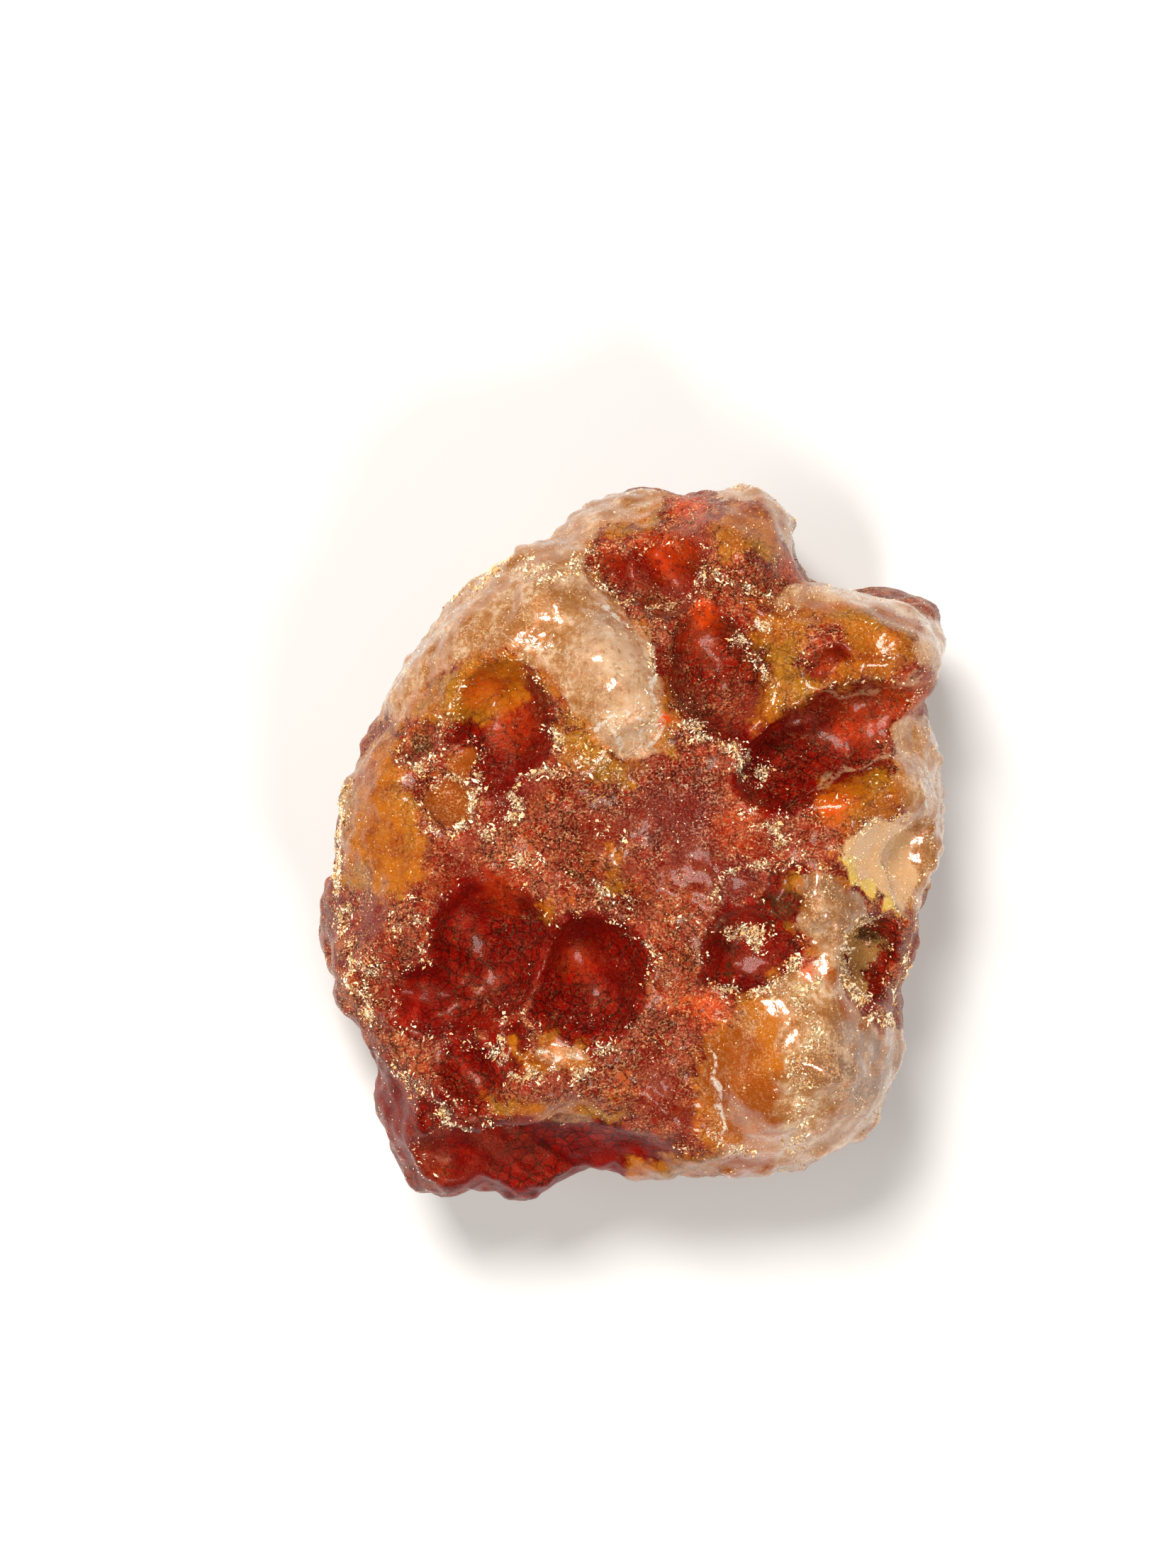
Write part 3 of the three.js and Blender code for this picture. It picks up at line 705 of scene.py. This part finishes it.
def new_material(name):
    """An empty material, a maker for its nodes, and where each point is, in millimetres."""
    material = bpy.data.materials.new(name)
    material.use_nodes = True
    material.node_tree.nodes.clear()
    maker = Maker(material.node_tree)
    metres = maker.add("ShaderNodeTexCoord", {}, "Object")
    place = maker.add("ShaderNodeVectorMath", {0: metres, "Scale": 1 / MM}, operation="SCALE")
    return material, maker, place


DEEP = screen(126, 1, 1)
RED = screen(168, 12, 3)
PLAIN = screen(162, 30, 10)
RUST = screen(116, 12, 6)
OCHRE = screen(206, 96, 26)
PAINTED_GLOW = screen(250, 80, 8)
MAUVE = screen(182, 86, 66)
BURGUNDY = screen(104, 20, 20)
CRACK = screen(50, 4, 3)
AMBER = screen(206, 116, 10)
BROWN_AMBER = screen(172, 82, 6)
OLIVE = screen(184, 124, 22)
GOLD = screen(250, 196, 92)
DARK_HONEY = screen(176, 114, 58)
HONEY = screen(196, 140, 86)
HAZE = screen(254, 222, 186)
FILM = screen(250, 190, 128)
PINK_FILM = screen(236, 176, 150)
CREAM = screen(255, 222, 168)
GLINT = screen(255, 240, 222)
DARK_SPOT = screen(58, 42, 16)
TAN = screen(176, 84, 16)
KHAKI = screen(198, 150, 84)
CHIP = screen(244, 198, 146)
PAINTED_FOOT_HIGHLIGHT = screen(255, 214, 100)
SMOKE = screen(136, 108, 92)

resin, m, place = new_material("copal_resin")
coarse = m.noise(place, 0.3, 3.0)
middling = m.noise(place, 0.9, 4.0, 0.6)
fine = m.noise(place, 3.2, 3.0, 0.7)
grain = m.noise(place, 9.0, 3.0, 0.7)
wandered = m.wandering(place, 1.2, 0.5)
bowl = m.ragged(m.share("bowl"), fine, 1.1, 0.25, 0.75)

# Crust: plates between cracks, some of them filmed with mauve, which is partly a painted sheen, and
# a deeper red in the bowls.
plain = m.paint(m.step(middling, 0.38, 0.6), RUST, PLAIN)
ochre = m.times(m.step(m.noise(place, 0.55, 3.0, 0.65), 0.5, 0.62), m.step(fine, 0.35, 0.6))
plain = m.paint(m.times(ochre, 0.85), plain, OCHRE)
bare = m.step(coarse, 0.5, 0.38)
plain = m.paint(m.times(bare, 0.8), plain, DEEP)
# Mauve on some plates: a film, and partly a painted sheen of light on the crust.
plate_film_and_sheen = m.step(m.math("ADD", m.pick(wandered, 1.15), coarse), 0.75, 1.25)
plate_film_and_sheen = m.times(plate_film_and_sheen, m.step(fine, 0.3, 0.6))
plain = m.paint(m.times(plate_film_and_sheen, 0.55), plain, MAUVE)
plain = m.paint(m.times(m.share("burgundy"), m.step(fine, 0.3, 0.55), 0.75), plain, BURGUNDY)
deep = m.paint(m.step(middling, 0.42, 0.7), DEEP, RED)
crust = m.paint(bowl, plain, deep)
to_plate_edge = m.cells(wandered, 1.7, feature="DISTANCE_TO_EDGE")
plate_crack = m.step(to_plate_edge, 0.03, 0.1, 1.0, 0.0)
hair_crack = m.line(fine, 0.5, 0.004, 0.03, 0.4)
crack = m.times(m.math("MAXIMUM", plate_crack, hair_crack), m.step(coarse, 0.35, 0.55, 0.3, 1.0))

# Amber where the crust is thin, honey in the windows, and a painted glow where light comes out.
breakup = m.math("ADD", m.times(fine, 0.5), m.times(middling, 0.5))
amber_share = m.ragged(m.share("amber"), breakup, 3.0, 0.25, 0.95)
amber = m.paint(m.step(middling, 0.36, 0.6), BROWN_AMBER, AMBER)
amber = m.paint(m.times(m.step(coarse, 0.46, 0.6), 0.8), amber, OLIVE)
amber = m.paint(m.times(m.step(grain, 0.58, 0.66), m.step(fine, 0.45, 0.6), 0.6), amber, GOLD)
colour = m.paint(amber_share, crust, amber)
colour = m.paint(m.times(crack, m.blend(amber_share, 0.8, 0.4)), colour, CRACK)
window = m.ragged(m.share("window"), breakup, 2.2, 0.3, 0.8)
cloud = m.noise(place, 0.8, 4.0, 0.62)
honey = m.paint(m.step(cloud, 0.4, 0.56), DARK_HONEY, HONEY)
honey = m.paint(m.times(m.step(cloud, 0.5, 0.66), m.step(fine, 0.38, 0.6), 0.8), honey, HAZE)
# Pale spots: lighter haze in some windows; on the tongue, which faces away from the key, a painted
# light.
honey = m.paint(m.times(m.share("pale"), m.step(fine, 0.25, 0.5), 0.6), honey, HAZE)
honey = m.paint(m.times(m.share("smoky"), m.step(middling, 0.3, 0.6), 0.9), honey, SMOKE)
gold = m.paint(m.step(coarse, 0.4, 0.6), BROWN_AMBER, AMBER)
honey = m.paint(m.times(amber_share, m.step(middling, 0.2, 0.4)), honey, gold)
thread = m.line(cloud, 0.47, 0.002, 0.009, 0.7)
honey = m.paint(m.times(thread, m.step(coarse, 0.45, 0.6)), honey, HAZE)
along = m.add("ShaderNodeVectorMath", {0: place, 1: (1.0, 0.35, 1.0)}, operation="MULTIPLY")
streaks = m.times(m.step(m.noise(along, 2.2, 3.0, 0.7), 0.5, 0.64), m.step(grain, 0.4, 0.6))
honey = m.paint(m.times(streaks, m.math("SUBTRACT", 0.6, m.times(amber_share, 0.4))), honey, HAZE)
colour = m.paint(window, colour, honey)
# Painted glow: orange laid where light that went through the resin comes out.
colour = m.paint(m.times(m.share("painted_glow"), m.step(fine, 0.3, 0.62)), colour, PAINTED_GLOW)

# Stains in the pits and the pale chip, dark spots painted in some pits, and a painted highlight
# along the chip's foot.
colour = m.paint(m.ragged(m.share("tan"), fine, 1.2, 0.3, 0.8), colour, TAN)
colour = m.paint(m.ragged(m.share("khaki"), fine, 1.8, 0.3, 0.7), colour, KHAKI)
colour = m.paint(m.ragged(m.share("chip"), fine, 1.0, 0.3, 0.8), colour, CHIP)
# Dark spots, painted darker, most of them in the pits.
colour = m.paint(m.ragged(m.share("dark_spot"), fine, 1.8, 0.3, 0.9), colour, DARK_SPOT)
# Painted highlight along the chip's foot.
colour = m.paint(m.ragged(m.share("painted_foot_highlight"), fine, 1.6, 0.4, 0.9), colour, PAINTED_FOOT_HIGHLIGHT)

# A thin film of dust on what stands out, and the paste that the crumbs sit in along the rims.
dusty = m.without(m.times(bowl, 0.86))
veil = m.step(m.noise(place, 1.7, 4.0, 0.66), 0.42, 0.66, 0.3, 1.0)
clean = m.math("MAXIMUM", m.share("clean"), m.times(amber_share, 0.3))
film = m.times(veil, m.step(grain, 0.49, 0.61), m.without(m.times(bare, 0.6)), dusty, 0.9)
film = m.times(film, m.without(clean))
film_colour = m.paint(m.share("burgundy"), FILM, PINK_FILM)
colour = m.paint(film, colour, film_colour)
crumb = m.ragged(m.share("crumbs"), fine, 2.6, 0.75, 1.1)
crumb = m.times(crumb, m.step(grain, 0.4, 0.54))
colour = m.paint(m.times(crumb, 0.85), colour, CREAM)
to_chip_edge = m.shifted(m.share("to_chip_edge"), middling, 0.6)
chip_edge = m.without(m.times(m.math("ABSOLUTE", to_chip_edge), 2.2))
chip_edge = m.math("MAXIMUM", chip_edge, 0.0)
# Along the chip edges, a painted highlight: cream on the crust, near white in the windows.
painted_highlight = m.times(m.step(chip_edge, 0.7, 0.92), m.step(fine, 0.4, 0.56))
painted_highlight = m.times(painted_highlight, m.blend(window, 0.35, 0.9))
colour = m.paint(painted_highlight, colour, m.paint(window, CREAM, GLINT))

crust_roughness = m.step(fine, 0.3, 0.7, 0.24, 0.38)
window_roughness = m.step(middling, 0.35, 0.65, 0.16, 0.32)
roughness = m.blend(window, crust_roughness, window_roughness)
roughness = m.blend(m.math("MAXIMUM", crumb, film), roughness, 0.7)
wet = m.math("MAXIMUM", window, m.times(amber_share, 0.5))
wet = m.times(wet, m.without(film), 0.9)
wet = m.math("MAXIMUM", wet, m.times(m.without(m.share("clean")), 0.1))

# The worn crust is matt and uneven; the windows are nearly smooth.
height = m.times(fine, m.blend(m.share("window"), m.blend(bowl, 0.1, 0.06), 0.018))
height = m.math("MULTIPLY_ADD", grain, m.blend(m.share("window"), 0.035, 0.006), height)
height = m.math("MULTIPLY_ADD", crumb, 0.08, height)
relief_normal = m.add("ShaderNodeBump", {"Strength": 0.8, "Distance": MM, "Height": height})

# Their polished skin is smoother still, and is broken only by the edges of the chips.
height = m.times(middling, 0.05)
height = m.math("MULTIPLY_ADD", chip_edge, 0.15, height)
skin_normal = m.add("ShaderNodeBump", {"Strength": 1.0, "Distance": MM, "Height": height})

surface_inputs = {
    "Base Color": colour,
    "Roughness": roughness,
    "Normal": relief_normal,
    "IOR": 1.54,
    "Specular IOR Level": 0.15,
    "Specular Tint": (1.0, 0.28, 0.14),
    "Transmission Weight": 0.42,
    "Subsurface Weight": 0.4,
    "Subsurface Radius": (1.0, 0.4, 0.2),
    "Subsurface Scale": 0.5 * MM,
    "Coat Weight": wet,
    "Coat Roughness": 0.07,
    "Coat Normal": skin_normal,
}
surface = m.add("ShaderNodeBsdfPrincipled", surface_inputs)
absorbed = {"Color": (0.97, 0.76, 0.3), "Density": 160.0}
inside = m.add("ShaderNodeVolumeAbsorption", absorbed)
output = resin.node_tree.nodes.new("ShaderNodeOutputMaterial")
resin.node_tree.links.new(surface, output.inputs["Surface"])
resin.node_tree.links.new(inside, output.inputs["Volume"])
mesh.materials.append(resin)


# ---- Crumbs and dust on the lump ----
# Weathered resin crumbles to dull, pale grains. The larger ones stick along the rims, and finer
# dust clings to whatever stands out. They are scattered over the lump's own surface.

# How far a grain may turn about each axis, and how long, broad and thick it may be for its size.
FULL_TURN = (6.28, 6.28, 6.28)
SLIGHTEST = (0.5, 0.4, 0.3)
STOUTEST = (2.2, 1.2, 0.9)
# How rare the larger grains are.
RARITY = 2.5


def scatter_tree(name, sides):
    """Grains, on the faces of a mesh, as thick as one of its shares says."""
    tree = bpy.data.node_groups.new(name, "GeometryNodeTree")
    sockets = {
        "Geometry": "Geometry", "Share": "String", "Density": "Float", "Threshold": "Float",
        "Smallest": "Float", "Largest": "Float", "Seed": "Int", "Material": "Material",
    }  # fmt: skip
    for key, kind in sockets.items():
        tree.interface.new_socket(key, in_out="INPUT", socket_type="NodeSocket" + kind)
    tree.interface.new_socket("Geometry", in_out="OUTPUT", socket_type="NodeSocketGeometry")
    g = Maker(tree)
    given = tree.nodes.new("NodeGroupInput").outputs
    share = g.add("GeometryNodeInputNamedAttribute", {"Name": given["Share"]}, "Attribute")
    over = g.math("MAXIMUM", g.math("SUBTRACT", share, given["Threshold"]), 0.0)
    density = g.math("MULTIPLY", over, given["Density"])
    inputs = {"Mesh": given["Geometry"], "Density": density, "Seed": given["Seed"]}
    spread = g.add("GeometryNodeDistributePointsOnFaces", inputs, "Points")
    inputs = {"Vertices": sides, "Radius Bottom": 1.0, "Depth": 1.2}
    grain_mesh = g.add("GeometryNodeMeshCone", inputs, "Mesh")
    inputs = {0: (0, 0, 0), 1: FULL_TURN}
    turn = g.add("FunctionNodeRandomValue", inputs, 0, data_type="FLOAT_VECTOR")
    inputs = {0: SLIGHTEST, 1: STOUTEST}
    squash = g.add("FunctionNodeRandomValue", inputs, 0, data_type="FLOAT_VECTOR")
    chance = g.add("FunctionNodeRandomValue", {2: 0.0, 3: 1.0, "Seed": 7}, 1)
    inputs = {0: g.math("POWER", chance, RARITY), 3: given["Smallest"], 4: given["Largest"]}
    size = g.add("ShaderNodeMapRange", inputs)
    scale = g.add("ShaderNodeVectorMath", {0: squash, "Scale": size}, operation="SCALE")
    inputs = {"Points": spread, "Instance": grain_mesh, "Rotation": turn, "Scale": scale}
    grains = g.add("GeometryNodeInstanceOnPoints", inputs)
    grains = g.add("GeometryNodeRealizeInstances", {"Geometry": grains})
    grains = g.add("GeometryNodeSetMaterial", {"Geometry": grains, "Material": given["Material"]})
    tree.links.new(grains, tree.nodes.new("NodeGroupOutput").inputs["Geometry"])
    return tree


def scatter(name, tree, values):
    """A mesh of grains over the lump, from a tree and the values of its inputs."""
    host = bpy.data.objects.new(name + "_host", mesh)
    bpy.context.scene.collection.objects.link(host)
    modifier = host.modifiers.new(name, "NODES")
    modifier.node_group = tree
    for item in tree.interface.items_tree:
        if item.in_out == "INPUT" and item.name in values:
            modifier[item.identifier] = values[item.name]
    bpy.context.view_layer.update()
    evaluated = host.evaluated_get(bpy.context.evaluated_depsgraph_get())
    grains = bpy.data.objects.new(name, bpy.data.meshes.new_from_object(evaluated))
    bpy.context.scene.collection.objects.link(grains)
    bpy.data.objects.remove(host)
    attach(grains, "root")


STRAW = screen(238, 190, 124)
IVORY = screen(255, 238, 206)
ROASTED = screen(206, 120, 50)

crumb_paste, m, place = new_material("resin_crumbs")
colour = m.paint(m.step(m.noise(place, 2.2, 3.0), 0.36, 0.6), STRAW, IVORY)
colour = m.paint(m.step(m.noise(place, 4.6, 2.0), 0.58, 0.7), colour, ROASTED)
surface = m.add("ShaderNodeBsdfPrincipled", {"Base Color": colour, "Roughness": 0.6})
output = crumb_paste.node_tree.nodes.new("ShaderNodeOutputMaterial")
crumb_paste.node_tree.links.new(surface, output.inputs["Surface"])

crumb_values = {
    "Share": "crumbs", "Density": 130e6, "Threshold": 0.25, "Smallest": 0.025 * MM,
    "Largest": 0.12 * MM, "Seed": 3, "Material": crumb_paste,
}  # fmt: skip
dust_values = {
    "Share": "dust", "Density": 24e6, "Threshold": 0.1, "Smallest": 0.02 * MM,
    "Largest": 0.07 * MM, "Seed": 5, "Material": crumb_paste,
}  # fmt: skip
scatter("crumbs", scatter_tree("scatter_crumbs", 4), crumb_values)
scatter("dust", scatter_tree("scatter_dust", 3), dust_values)


# ---- Floor, light and camera ----
# A plain pale floor, soft lights from beyond the lump's top, its foot and its left side, and a
# camera that looks straight down on the weathered face.

EYE = Vector((-2.30, 2.68, 187.6)) * MM
# The height of what the picture takes in, and the level above the floor where it is measured.
FRAME_HEIGHT = 75.5 * MM
FRAME_LEVEL = 7.6 * MM
AIM = Vector((0, 0, 8)) * MM
PALE_PAPER = (0.7, 0.7, 0.7, 1)
WARM_WHITE = (1.0, 0.97, 0.92)

bpy.ops.mesh.primitive_plane_add(size=2)
floor = bpy.context.object
floor.name = "floor"
paper = bpy.data.materials.new("floor_paper")
paper.use_nodes = True
paper_surface = paper.node_tree.nodes["Principled BSDF"].inputs
paper_surface["Base Color"].default_value = PALE_PAPER
paper_surface["Roughness"].default_value = 0.9
floor.data.materials.append(paper)

world = bpy.data.worlds.new("studio")
bpy.context.scene.world = world
world.use_nodes = True
background = world.node_tree.nodes["Background"].inputs
background["Color"].default_value = (1, 1, 1, 1)
background["Strength"].default_value = 0.1


def soft_light(name, at, size, power):
    """A square panel, placed in millimetres, that faces the lump."""
    data = bpy.data.lights.new(name, "AREA")
    data.size = size * MM
    data.energy = power
    data.color = WARM_WHITE
    light = bpy.data.objects.new(name, data)
    light.location = Vector(at) * MM
    light.rotation_euler = (AIM - light.location).to_track_quat("-Z", "Y").to_euler()
    bpy.context.scene.collection.objects.link(light)
    return light


soft_light("key", (-70, 150, 310), 110, 1.5)
soft_light("foot", (110, -190, 240), 80, 0.7)
# The light from the side only fills: it is kept out of the reflections.
soft_light("side", (-260, -20, 150), 140, 0.3).visible_glossy = False

camera_data = bpy.data.cameras.new("camera")
camera_data.sensor_fit = "VERTICAL"
camera_data.angle = 2 * math.atan(FRAME_HEIGHT / 2 / (EYE.z - FRAME_LEVEL))
camera_data.clip_start = 0.005
camera = bpy.data.objects.new("camera", camera_data)
camera.location = EYE
bpy.context.scene.collection.objects.link(camera)
bpy.context.scene.camera = camera
bpy.context.scene.view_settings.view_transform = "Standard"
